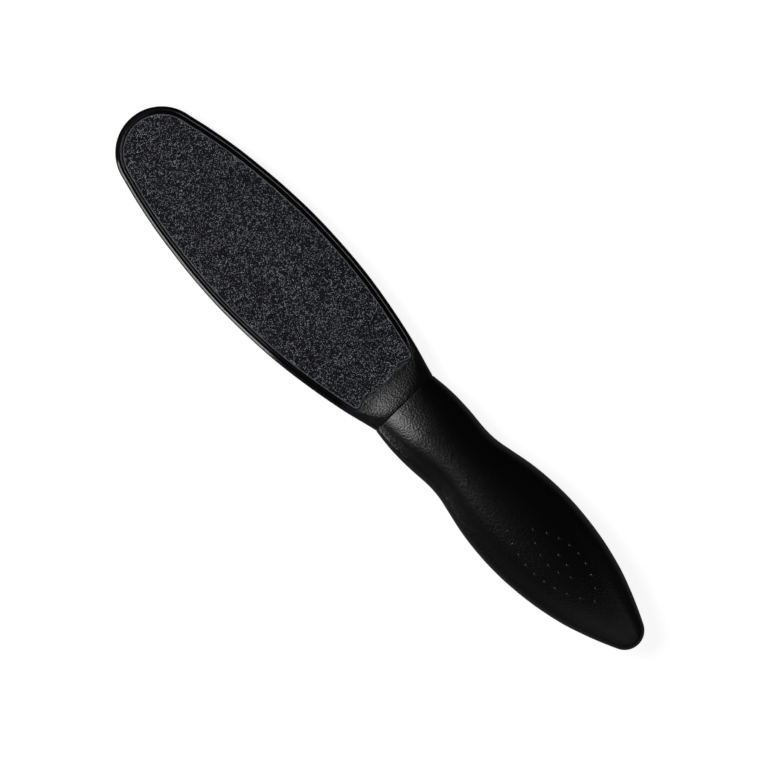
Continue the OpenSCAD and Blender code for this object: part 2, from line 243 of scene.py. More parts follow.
@dataclass
class LyingFrame:
    """How the flat file lies: leaning on its belly, with the tip of its head on the table."""

    lean: float
    middle: Vector
    middle_x: float
    low: np.ndarray
    high: np.ndarray

    @classmethod
    def read(cls, record: dict) -> "LyingFrame":
        """Reads the lie from the two face mounts, which are opposite each other on the head.

        Args:
            record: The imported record.

        Returns:
            The frame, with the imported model's box.
        """
        mounts = {m["name"]: m for m in record["mounts"]}
        up, down = mounts["coarse_face"], mounts["fine_face"]
        lean = math.asin(-up["axis"][0])
        middle = (Vector(up["pos_m"]) + Vector(down["pos_m"])) / 2
        low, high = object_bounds()
        return cls(lean, middle, (middle.x - low[0]) / math.cos(lean) / MM,
                   np.array(low), np.array(high))

    def lay(self, flat: np.ndarray) -> np.ndarray:
        """Lays flat points down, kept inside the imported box.

        Args:
            flat: Array of (x, y, z) in the flat frame, in millimetres.

        Returns:
            Their places in metres.
        """
        p = np.asarray(flat, float)
        x, z = p[:, 0] - self.middle_x, p[:, 2]
        c, s = math.cos(self.lean), math.sin(self.lean)
        laid = np.stack([x * c - z * s, p[:, 1], x * s + z * c], 1) * MM + np.array(self.middle)
        return np.clip(laid, self.low, self.high)

    def turn(self, direction: tuple[float, float, float]) -> tuple[float, float, float]:
        """Turns a direction with the lying file.

        Args:
            direction: A direction in the flat frame.

        Returns:
            The same direction on the lying file.
        """
        x, y, z = direction
        c, s = math.cos(self.lean), math.sin(self.lean)
        return (x * c - z * s, y, x * s + z * c)


class Skin:
    """Collects bands of faces between rows of flat points, and makes one closed mesh of them."""

    def __init__(self) -> None:
        """Starts with no faces."""
        self.points: list[np.ndarray] = []
        self.faces: list[tuple[int, ...]] = []
        self.count = 0

    def _add(self, points: np.ndarray) -> int:
        """Keeps points.

        Args:
            points: Array of (x, y, z).

        Returns:
            The number of the first.
        """
        first = self.count
        self.points.append(np.asarray(points, float))
        self.count += len(points)
        return first

    def bands(self, rows: list[np.ndarray]) -> None:
        """Joins each row of points to the next one with quads.

        Args:
            rows: Arrays of (x, y, z), all of one length.
        """
        n = len(rows[0])
        first = self._add(np.concatenate(rows))
        for r in range(len(rows) - 1):
            a = first + r * n
            self.faces += [(a + k, a + k + 1, a + n + k + 1, a + n + k) for k in range(n - 1)]

    def fan(self, centre: tuple[float, float, float], row: np.ndarray) -> None:
        """Closes a row of points with triangles to a centre."""
        first = self._add(np.concatenate([[centre], row]))
        self.faces += [(first, first + k + 1, first + k) for k in range(1, len(row))]

    def mirrored(self) -> "Skin":
        """Mirrors the faces in the middle plane.

        Returns:
            A skin of their images, turned the right way out.
        """
        other = Skin()
        other._add(np.concatenate(self.points) * (1, 1, -1))
        other.faces = [tuple(reversed(f)) for f in self.faces]
        return other

    def piece(self, name: str, lie: LyingFrame | None, others: tuple["Skin", ...] = (),
              sharp_degrees: float = 40) -> Object:
        """Makes the object, with doubles merged and faces pointing outwards.

        Args:
            name: The piece's name.
            lie: The lying frame, or None to leave it flat.
            others: Skins that close this one.
            sharp_degrees: Edges that turn more than this stay sharp.

        Returns:
            The object, linked to the scene.
        """
        skins = (self, *others)
        points = np.concatenate([np.concatenate(s.points) for s in skins])
        faces, first = [], 0
        for s in skins:
            faces += [tuple(first + i for i in f) for f in s.faces]
            first += s.count
        places = lie.lay(points) if lie else points * MM
        mesh = bpy.data.meshes.new(name)
        mesh.from_pydata(places.tolist(), [], faces)
        work = bmesh.new()
        work.from_mesh(mesh)
        bmesh.ops.remove_doubles(work, verts=work.verts, dist=MERGE_MM * MM)
        bmesh.ops.recalc_face_normals(work, faces=work.faces)
        work.to_mesh(mesh)
        work.free()
        mesh.shade_smooth()
        mesh.set_sharp_from_angle(angle=math.radians(sharp_degrees))
        return link_object(name, mesh)


@dataclass
class HeadPlan:
    """The plan of the head and neck: a round tip, smooth sides, and the pads' three-lobed end."""

    length: float = 129.6
    width: float = 44.0
    nose_radius: float = 15.3
    nose_angle: float = math.radians(13)
    neck_width: float = 26.0
    neck_slope: float = -0.24
    side_shares: tuple[tuple[float, float], ...] = (
        (0.160, 0.774), (0.240, 0.864), (0.320, 0.927), (0.400, 0.973), (0.500, 1.000),
        (0.610, 0.985), (0.710, 0.938), (0.810, 0.850), (0.910, 0.731))
    wall: float = 2.25
    fade_length: float = 5.0
    groove: float = 0.45
    neck_length: float = 8.7
    ear_radius: float = 1.3
    ear_back: float = 0.3
    ear_gap: float = 0.4
    bulge_radius: float = 15.3
    notch_span: float = 14.8
    arc_gap: float = 0.08
    nose_steps: int = 60
    side_steps: int = 90
    ear_steps: int = 14
    flank_steps: int = 10
    bulge_steps: int = 44
    probes: int = 10000

    def __post_init__(self) -> None:
        """Works out the side's curve, the outline and the ears."""
        nose_x = self.nose_radius * (1 - math.sin(self.nose_angle))
        knots = ((nose_x, self.nose_radius * math.cos(self.nose_angle)),
                 *((a * self.length, b * self.width / 2) for a, b in self.side_shares),
                 (self.length, self.neck_width / 2))
        self.side = SmoothCurve(knots, math.tan(self.nose_angle), self.neck_slope)
        self.pad_inset = self.wall + self.groove
        self.pad_end = self.length - self.neck_length
        self.ear_inset = self.pad_inset + self.ear_radius
        self.ear_shift = self.groove - self.ear_gap
        end = self.pad_end - self.ear_back - self.ear_radius - self.ear_shift
        self.ear_x = end - self.ear_inset * self.side_frame(np.array([end]))[1][0, 0]
        point, normal = self.side_frame(np.array([self.ear_x]))
        self.ear_normal = normal[0]
        self.ear_centre = point[0] + self.ear_inset * normal[0]
        self.wall_arc = self.bulge_radius + self.arc_gap
        xs = np.linspace(nose_x, self.ear_x, self.side_steps + 1)
        points, normals = self.side_frame(xs)
        turn = np.linspace(1, -1, 2 * self.nose_steps + 1) * (math.pi / 2 - self.nose_angle)
        nose = self.nose_radius * np.stack([1 - np.cos(turn), np.sin(turn)], 1)
        flip = np.array([1, -1])
        self.path = np.concatenate([points[:0:-1], nose, points[1:] * flip])
        self.normals = np.concatenate([normals[:0:-1], np.stack([np.cos(turn), -np.sin(turn)], 1),
                                       normals[1:] * flip])

    def side_frame(self, x: np.ndarray) -> tuple[np.ndarray, np.ndarray]:
        """Follows the +Y side of the outline.

        Args:
            x: Places along the head.

        Returns:
            Its points there, and their inward normals.
        """
        probe = self.length / self.probes
        slope = (self.side.at(x + probe) - self.side.at(x - probe)) / (2 * probe)
        size = np.sqrt(1 + slope * slope)
        return np.stack([x, self.side.at(x)], 1), np.stack([slope / size, -1 / size], 1)

    def head_row(self, inset: float) -> np.ndarray:
        """The outline round the tip, moved inwards."""
        return self.path + inset * self.normals

    def lobed_row(self, inset: float, arc: float, shift: float = 0.0) -> np.ndarray:
        """The three-lobed end from -Y to +Y.

        Args:
            inset: Distance in from the outline, which sets the ears' radius.
            arc: Radius of the arc between the notches.
            shift: How far back the ears lie.

        Returns:
            Array of (x, y).
        """
        radius = self.ear_inset - inset
        notch = math.asin(self.notch_span / 2 / arc)
        middle = np.array([self.pad_end - self.bulge_radius, 0])
        centre = self.ear_centre + (shift, 0)
        corner = middle + arc * np.array([math.cos(notch), math.sin(notch)])
        away = corner - centre
        start = math.atan2(-self.ear_normal[1], -self.ear_normal[0])
        stop = math.atan2(away[1], away[0]) + math.acos(radius / np.linalg.norm(away))
        turn = np.linspace(start, stop, self.ear_steps + 1)[1:]
        ear = centre + radius * np.stack([np.cos(turn), np.sin(turn)], 1)
        shares = np.linspace(0, 1, self.flank_steps + 1)[1:-1, None]
        flank = ear[-1] + (corner - ear[-1]) * shares
        sweep = np.linspace(notch, 0, self.bulge_steps + 1)
        bulge = middle + arc * np.stack([np.cos(sweep), np.sin(sweep)], 1)
        half = np.concatenate([ear, flank, bulge])
        return np.concatenate([half * (1, -1), half[-2::-1]])

    def pad_row(self, inset: float) -> np.ndarray:
        """Outline of the pad, moved in by inset."""
        return np.concatenate([self.head_row(self.pad_inset + inset),
                               self.lobed_row(self.pad_inset + inset, self.bulge_radius - inset,
                                              self.ear_shift)])


@dataclass
class Head:
    """The rigid moulding as far as it shows: the head, with a pocket each side, and the neck."""

    plan: HeadPlan
    lie: LyingFrame
    thickness: float = 6.2
    bevel_width: float = 1.0
    bevel_height: float = 0.78
    draft: float = 0.1
    lip_level: float = 0.05
    lip: float = 0.4
    lip_fall: float = 0.2
    channel_wall: float = 0.1
    channel: float = 0.35
    channel_depth: float = 0.5
    bead_flank: float = 0.3
    bead_height: float = 0.18
    fade: float = 0.12
    neck_thickness: float = 10
    fullness: float = 2.3
    middle_span: float = 1.02
    edge_span: float = 0.6
    crown: float = 0.45
    rim_rounds: tuple[float, ...] = (0.25, 0.2)
    inner_rounds: tuple[float, ...] = (0.03, 0.05, 0.06, 0.06, 0.06, 0.06)
    rim_angles: tuple[float, ...] = (0, 14, 30)
    lip_angle: float = 2
    rim_steps: int = 6
    inner_steps: int = 3
    neck_rows: int = 36
    floors: dict[Face, float] = field(default_factory=lambda: {Face.COARSE: 2.1, Face.FINE: 2.3})

    def __post_init__(self) -> None:
        """Works out the rim's rounded section."""
        z, w, h = self.thickness / 2, self.bevel_width, self.bevel_height
        self.lip_z = z
        corners = [(0, 0), (self.draft, z - h), (w, z)]
        self.lip_middle = w + self.lip_level / 2
        self.rim = rounded([*corners, (self.lip_middle, z)], self.rim_rounds, self.rim_steps)
        along = np.concatenate([[0], np.cumsum(np.linalg.norm(np.diff(self.rim, axis=0), axis=1))])
        lengths = np.concatenate([[0], np.cumsum(np.linalg.norm(np.diff(corners, axis=0), axis=1))])
        self.rim_turns = np.radians(np.interp(along, lengths, self.rim_angles))
        self.rim_turns[-1] += math.radians(self.lip_angle)
        self.edge_y = self._edge_y(self.plan.ear_x)
        self.crease_y = self._edge_y(self.plan.length)

    def _rise(self, x: np.ndarray, v: np.ndarray) -> np.ndarray:
        """Works out the neck's rise, which comes soonest along its edges.

        Args:
            x: Places along the neck.
            v: Their share of its half width.

        Returns:
            How far it has risen from the lip, 0, to the crease, 1.
        """
        share = np.maximum(0, (x - self.plan.ear_x) / (self.plan.length - self.plan.ear_x))
        span = self.middle_span + (self.edge_span - self.middle_span) * v ** 4
        return ease(share / span) / ease(1 / span)

    def _edge_y(self, x: float) -> float:
        """Works out the half width of the neck's top, between its rounded edges.

        Args:
            x: Place along the neck.

        Returns:
            The half width.
        """
        point, normal = self.plan.side_frame(np.array([x]))
        flat = point[0, 1] + self.bevel_width * normal[0, 1]
        turn = math.radians(self.rim_angles[-1])
        full = oval(point[0, 1], 1.0, self.fullness, np.array(turn))[0]
        rise = float(self._rise(np.array(x), np.array(1.0)))
        return flat + (full - flat) * rise

    def _neck_z(self, x: np.ndarray, v: np.ndarray) -> np.ndarray:
        """Works out the height of the neck's top.

        Args:
            x: Places along the neck.
            v: Their share of its half width.

        Returns:
            The heights over the middle plane.
        """
        crease = oval_z(self.plan.neck_width / 2, self.neck_thickness / 2, self.fullness,
                        v * self.crease_y)
        rise = self._rise(x, v)
        start = ease((x - self.plan.ear_x) / (self.plan.pad_end - self.plan.ear_x))
        crown = self.crown * (1 - v * v) ** 2 * start * (1 - rise)
        return self.lip_z + (crease - self.lip_z) * rise + crown

    def _rim_points(self, x: float, side: int) -> np.ndarray:
        """Carries the rim's section over the neck.

        Args:
            x: Place along the neck.
            side: 1 for the +Y edge and -1 for the other.

        Returns:
            Array of (x, y, z).
        """
        point, normal = self.plan.side_frame(np.array([x]))
        flat = point[0] + self.rim[:, :1] * normal[0]
        full = oval(point[0, 1], self.neck_thickness / 2, self.fullness, self.rim_turns)
        rise = float(self._rise(np.array(x), np.array(1.0)))
        out = np.stack([flat[:, 0] + (x - flat[:, 0]) * rise,
                        flat[:, 1] + (full[:, 0] - flat[:, 1]) * rise,
                        self.rim[:, 1] + (full[:, 1] - self.rim[:, 1]) * rise], 1)
        return out * (1, side, 1)

    def _inner_line(self, inset: float, z: float) -> np.ndarray:
        """A line of the rim's inner section, drawn to the pocket's wall along the lobed end.

        Args:
            inset: Distance in from the outline.
            z: Height of the line round the tip.

        Returns:
            Closed loop of (x, y, z).
        """
        plan, depth = self.plan, self.lip_z - z
        full = ease((plan.ear_x - plan.path[:, 0]) / plan.fade_length)
        full = self.fade + (1 - self.fade) * full
        side = plan.path + (plan.wall + (inset - plan.wall) * full)[:, None] * plan.normals
        drawn = (plan.wall - inset) * self.fade
        lobe = plan.lobed_row(plan.wall - drawn, plan.wall_arc + drawn)
        lobe_z = self._neck_z(lobe[:, 0], lobe[:, 1] / self.edge_y) - depth * self.fade
        loop = np.concatenate([np.column_stack([side, self.lip_z - depth * full]),
                               np.column_stack([lobe, lobe_z])])
        return np.concatenate([loop, loop[:1]])

    def _half(self, floor_z: float) -> Skin:
        """Draws the upper half of the head and neck.

        Args:
            floor_z: Height of the pocket's floor.

        Returns:
            Its skin, open along the middle plane.
        """
        plan, skin, top = self.plan, Skin(), self.lip_z
        rims = [at_height(plan.head_row(inset), z) for inset, z in self.rim]
        low, lip_end = top - self.channel_depth, self.bevel_width + self.lip
        bead = lip_end + self.channel
        corners = [(self.lip_middle, top), (self.bevel_width + self.lip_level, top),
                   (lip_end, top - self.lip_fall), (lip_end + self.channel_wall, low),
                   (bead, low), (bead + self.bead_flank, low + self.bead_height),
                   (plan.wall, low + self.bead_height),
                   (plan.wall, low + self.bead_height / 2)]
        inner = rounded(corners, self.inner_rounds, self.inner_steps)
        loops = [self._inner_line(inset, z) for inset, z in inner]
        loops.append(at_height(loops[-1][:, :2], floor_z))
        skin.bands([rims[-1], loops[0][:len(plan.path)]])
        skin.bands(rims)
        skin.bands(loops)
        skin.fan((plan.length / 2, 0, floor_z), loops[-1])
        starts = loops[0][len(plan.path) - 1:][::-1]
        rows = []
        for s in np.linspace(0, 1, self.neck_rows + 1):
            rim_x = plan.ear_x + (plan.length - plan.ear_x) * s
            x = starts[:, 0] + (plan.length - starts[:, 0]) * s
            v = starts[:, 1] / self.edge_y
            neck = np.column_stack([x, v * self._edge_y(rim_x), self._neck_z(x, v)])
            rows.append(np.concatenate([self._rim_points(rim_x, 1), neck if s else starts,
                                        self._rim_points(rim_x, -1)[::-1]]))
        skin.bands(rows)
        skin.fan((plan.length, 0, 0), rows[-1])
        return skin

    def build(self, finish: Material) -> Object:
        """Makes the moulding and dresses it.

        Args:
            finish: The moulded plastic.

        Returns:
            The piece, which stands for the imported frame.
        """
        lower = self._half(self.floors[Face.FINE]).mirrored()
        piece = self._half(self.floors[Face.COARSE]).piece("frame_moulding", self.lie, (lower,))
        piece.data.materials.append(finish)
        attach(piece, BODY)
        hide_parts("frame")
        return piece


@dataclass
class Grip:
    """The soft grip, swelling from the crease to a belly and closing in a round end."""

    lie: LyingFrame
    crease_x: float = 129.6
    length: float = 110.4
    neck_width: float = 26.0
    thumb_width: float = 27.8
    waist_width: float = 26.3
    belly_width: float = 34.6
    neck_thickness: float = 10
    belly_thickness: float = 16.6
    end_radius: float = 6.5
    end_thickness: float = 7.8
    end_slope: float = -0.5
    crease_slope: float = 0.13
    crease_rise: float = 0.2
    crease_depth: float = 0.2
    crease_length: float = 0.5
    bond: float = 0.05
    front_fullness: float = 2.3
    back_fullness: float = 2.15
    blend_share: float = 0.25
    edge_rows: int = 7
    rows: int = 230
    turns: int = 72
    end_steps: int = 26

    def __post_init__(self) -> None:
        """Works out the curves of the plan and of the side view."""
        neck, thumb, waist, belly = (self.neck_width, self.thumb_width, self.waist_width,
                                     self.belly_width)
        plan = ((0.000, neck, 1.000), (0.060, thumb, 0.988), (0.107, thumb, 1.000),
                (0.155, thumb, 0.988), (0.229, waist, 1.000), (0.274, waist, 1.021),
                (0.322, waist, 1.100), (0.392, belly, 0.928), (0.464, belly, 0.982),
                (0.535, belly, 1.000), (0.607, belly, 0.981), (0.702, belly, 0.905),
                (0.797, belly, 0.767), (0.868, belly, 0.612), (0.916, belly, 0.487))
        thick = self.belly_thickness
        rise = ((0.000, self.neck_thickness, 1.000), (0.060, thick, 0.735), (0.120, thick, 0.830),
                (0.230, thick, 0.915), (0.370, thick, 0.975), (0.535, thick, 1.000),
                (0.700, thick, 0.955), (0.800, thick, 0.860), (0.870, thick, 0.745),
                (0.920, thick, 0.630))
        self.end_turn = math.pi / 2 + math.atan(self.end_slope)
        self.end_x = self.length - self.end_radius * (1 - math.cos(self.end_turn))
        self.end_half = self.end_radius * math.sin(self.end_turn)
        self.plan_curve = SmoothCurve((*self._knots(plan), (self.end_x, self.end_half)),
                                      self.crease_slope, self.end_slope)
        self.rise_curve = SmoothCurve((*self._knots(rise), (self.end_x, self.end_thickness / 2)),
                                      self.crease_rise,
                                      self.end_slope * self.end_thickness / 2 / self.end_half)

    def _knots(self, rows: tuple[tuple[float, float, float], ...]) -> list[tuple[float, float]]:
        """Turns rows of share of the length, size and share of that size into (x, half size)."""
        return [(a * self.length, b * c / 2) for a, b, c in rows]

    def half_sizes(self, x: np.ndarray) -> tuple[np.ndarray, np.ndarray, np.ndarray]:
        """Works out the grip's section.

        Args:
            x: Places from the crease.

        Returns:
            Half widths, half thicknesses and fullness there.
        """
        arc = np.sqrt(np.maximum(0, self.end_radius ** 2
                                 - (x - self.length + self.end_radius) ** 2))
        front = x < self.end_x
        inside = np.minimum(x, self.end_x)
        half_w = np.where(front, self.plan_curve.at(inside), arc)
        half_t = np.where(front, self.rise_curve.at(inside),
                          arc * self.end_thickness / 2 / self.end_half)
        blend = ease(x / (self.length * self.blend_share))
        full = self.front_fullness + (self.back_fullness - self.front_fullness) * blend
        return half_w, half_t, full

    def build(self, finish: Material) -> Object:
        """Makes the grip's skin and dresses it.

        Args:
            finish: The soft moulding.

        Returns:
            The piece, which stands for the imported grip.
        """
        edge = self.bond + self.crease_length * np.linspace(0, 1, self.edge_rows)
        body = np.linspace(edge[-1], self.end_x, self.rows)[1:]
        end = self.length - self.end_radius * (
            1 - np.cos(self.end_turn * np.linspace(1, 0, self.end_steps + 1)[1:-1]))
        turn = np.linspace(0, math.pi, self.turns + 1)
        rows = []
        for x in np.concatenate([edge, body, end]):
            half_w, half_t, full = (float(v) for v in self.half_sizes(np.array(x)))
            inwards = self.crease_depth * (1 - min(1, (x - self.bond) / self.crease_length)) ** 2
            p = oval(half_w - inwards, half_t - inwards, full, turn)
            p[[0, -1], 1] = 0
            rows.append(np.column_stack([np.full(len(p), self.crease_x + x), p]))
        skin = Skin()
        skin.bands(rows)
        skin.fan((self.crease_x + self.bond, 0, 0), rows[0][::-1])
        skin.fan((self.crease_x + self.length, 0, 0), rows[-1])
        piece = skin.piece("grip_skin", self.lie, (skin.mirrored(),))
        piece.data.materials.append(finish)
        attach(piece, BODY)
        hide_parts("grip")
        return piece


def bake_tree(carrier: Object, tree: NodeTree, values: dict, name: str) -> Object:
    """Runs a Geometry Nodes tree on a carrier and keeps the result as a plain mesh.

    Args:
        carrier: The object that the tree starts from. It is removed.
        tree: The tree.
        values: Input name to its value.
        name: The new piece's name.

    Returns:
        The new object, with no modifier.
    """
    modifier = carrier.modifiers.new("tree", "NODES")
    modifier.node_group = tree
    for item in tree.interface.items_tree:
        if item.item_type == "SOCKET" and item.in_out == "INPUT" and item.name in values:
            modifier[item.identifier] = values[item.name]
    seen = carrier.evaluated_get(bpy.context.evaluated_depsgraph_get())
    mesh = bpy.data.meshes.new_from_object(seen)
    mesh.name = name
    bpy.data.objects.remove(carrier)
    return link_object(name, mesh)


def new_tree(name: str, inputs: dict[str, str]) -> tuple[NodeTree, Node]:
    """Starts a Geometry Nodes tree with named inputs.

    Args:
        name: The tree's name.
        inputs: Input name to its socket type, besides the geometry.

    Returns:
        The tree and its input node.
    """
    tree = bpy.data.node_groups.new(name, "GeometryNodeTree")
    tree.interface.new_socket("Geometry", in_out="OUTPUT", socket_type="NodeSocketGeometry")
    tree.interface.new_socket("Geometry", in_out="INPUT", socket_type="NodeSocketGeometry")
    for label, kind in inputs.items():
        tree.interface.new_socket(label, in_out="INPUT", socket_type=kind)
    return tree, add_node(tree, "NodeGroupInput")


def close_tree(tree: NodeTree, given: Node, instances: Node, smooth: bool) -> NodeTree:
    """Ends a tree by making its instances real, shading them and giving them their finish.

    Args:
        tree: The tree.
        given: Its input node.
        instances: The node that gives the instances.
        smooth: Whether the faces are shaded smooth.

    Returns:
        The tree.
    """
    real = add_node(tree, "GeometryNodeRealizeInstances", inputs={"Geometry": instances})
    shaded = add_node(tree, "GeometryNodeSetShadeSmooth",
                      inputs={"Geometry": real, "Shade Smooth": smooth})
    done = add_node(tree, "GeometryNodeSetMaterial", inputs={
        "Geometry": shaded, "Material": given.outputs["Finish"]})
    add_node(tree, "NodeGroupOutput", inputs={"Geometry": done})
    return tree


@dataclass(frozen=True)
class DotArc:
    """A bowed arc of dots, in shares of the grip's length and of its belly."""

    start: tuple[float, float]
    end: tuple[float, float]
    bow: float
    count: int

    def places(self, grip: Grip) -> np.ndarray:
        """Spaces the dots over the arc.

        Args:
            grip: The grip that carries them.

        Returns:
            Flat (x, y) of each dot.
        """
        s = np.linspace(0, 1, self.count)
        (x0, y0), (x1, y1) = self.start, self.end
        return np.stack([grip.crease_x + (x0 + (x1 - x0) * s) * grip.length,
                         (y0 + (y1 - y0) * s + self.bow * 4 * s * (1 - s)) * grip.belly_width], 1)


@dataclass
class GripDots:
    """Small raised dots on both faces of the grip, wound inwards on four bowed arcs."""

    grip: Grip
    diameter: float = 1.2
    height: float = 0.18
    ray_height: float = 30.0
    segments: int = 24
    rings: int = 20
    arcs: tuple[DotArc, ...] = (
        DotArc((0.490, -0.138), (0.821, -0.008), -0.165, 10),
        DotArc((0.793, 0.084), (0.539, 0.043), 0.137, 8),
        DotArc((0.574, -0.029), (0.720, -0.014), -0.066, 5),
        DotArc((0.685, 0.041), (0.647, 0.052), 0.0, 2))

    def _tree(self) -> NodeTree:
        """Drops each point on the grip along its own ray, and sets a dome square to the surface.

        Returns:
            The tree.
        """
        tree, given = new_tree("dots on the grip", {
            "Grip": "NodeSocketObject", "Dome Radius": "NodeSocketFloat",
            "Dot Height": "NodeSocketFloat", "Finish": "NodeSocketMaterial"})
        grip = add_node(tree, "GeometryNodeObjectInfo", inputs={"Object": given.outputs["Grip"]})
        ray = add_node(tree, "GeometryNodeInputNamedAttribute", {"data_type": "FLOAT_VECTOR"},
                       {"Name": "ray"})
        hit = add_node(tree, "GeometryNodeRaycast", inputs={
            "Target Geometry": grip.outputs["Geometry"], "Ray Direction": ray, "Ray Length": 1.0})
        points = add_node(tree, "GeometryNodeMeshToPoints",
                          inputs={"Mesh": given.outputs["Geometry"]})
        square = add_node(tree, "FunctionNodeAlignRotationToVector", {"axis": "Z"},
                          {"Vector": hit.outputs["Hit Normal"]})
        turned = add_node(tree, "GeometryNodeStoreNamedAttribute",
                          {"data_type": "QUATERNION", "domain": "POINT"},
                          {"Geometry": points, "Name": "square", "Value": square})
        placed = add_node(tree, "GeometryNodeSetPosition", inputs={
            "Geometry": turned, "Position": hit.outputs["Hit Position"]})
        dome = add_node(tree, "GeometryNodeMeshUVSphere",
                        inputs={"Segments": self.segments, "Rings": self.rings,
                                "Radius": given.outputs["Dome Radius"]})
        sink = add_node(tree, "ShaderNodeMath", {"operation": "SUBTRACT"},
                        {0: given.outputs["Dot Height"], 1: given.outputs["Dome Radius"]})
        offset = add_node(tree, "ShaderNodeCombineXYZ", inputs={"Z": sink})
        sunk = add_node(tree, "GeometryNodeTransform",
                        inputs={"Geometry": dome, "Translation": offset})
        rotation = add_node(tree, "GeometryNodeInputNamedAttribute",
                            {"data_type": "QUATERNION"}, {"Name": "square"})
        dots = add_node(tree, "GeometryNodeInstanceOnPoints",
                        inputs={"Points": placed, "Instance": sunk, "Rotation": rotation})
        return close_tree(tree, given, dots, True)

    def build(self, skin: Object, finish: Material) -> Object:
        """Makes the dots of both faces.

        Args:
            skin: The grip's skin, on which they sit.
            finish: The soft moulding.

        Returns:
            One piece with all the dots.
        """
        lie = self.grip.lie
        places = np.concatenate([arc.places(self.grip) for arc in self.arcs])
        middle = lie.lay(at_height(places, 0))
        points, rays = [], []
        for face in Face:
            points.append(middle + np.array(lie.turn((0, 0, face.up))) * self.ray_height * MM)
            rays += [lie.turn((0, 0, -face.up))] * len(places)
        mesh = bpy.data.meshes.new("dot_places")
        mesh.from_pydata(np.concatenate(points).tolist(), [], [])
        attribute = mesh.attributes.new("ray", "FLOAT_VECTOR", "POINT")
        attribute.data.foreach_set("vector", np.array(rays).ravel())
        carrier = link_object("dot_places", mesh)
        radius = ((self.diameter / 2) ** 2 + self.height ** 2) / (2 * self.height)
        piece = bake_tree(carrier, self._tree(), {
            "Grip": skin, "Dome Radius": radius * MM, "Dot Height": self.height * MM,
            "Finish": finish}, "grip_dots")
        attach(piece, BODY)
        return piece


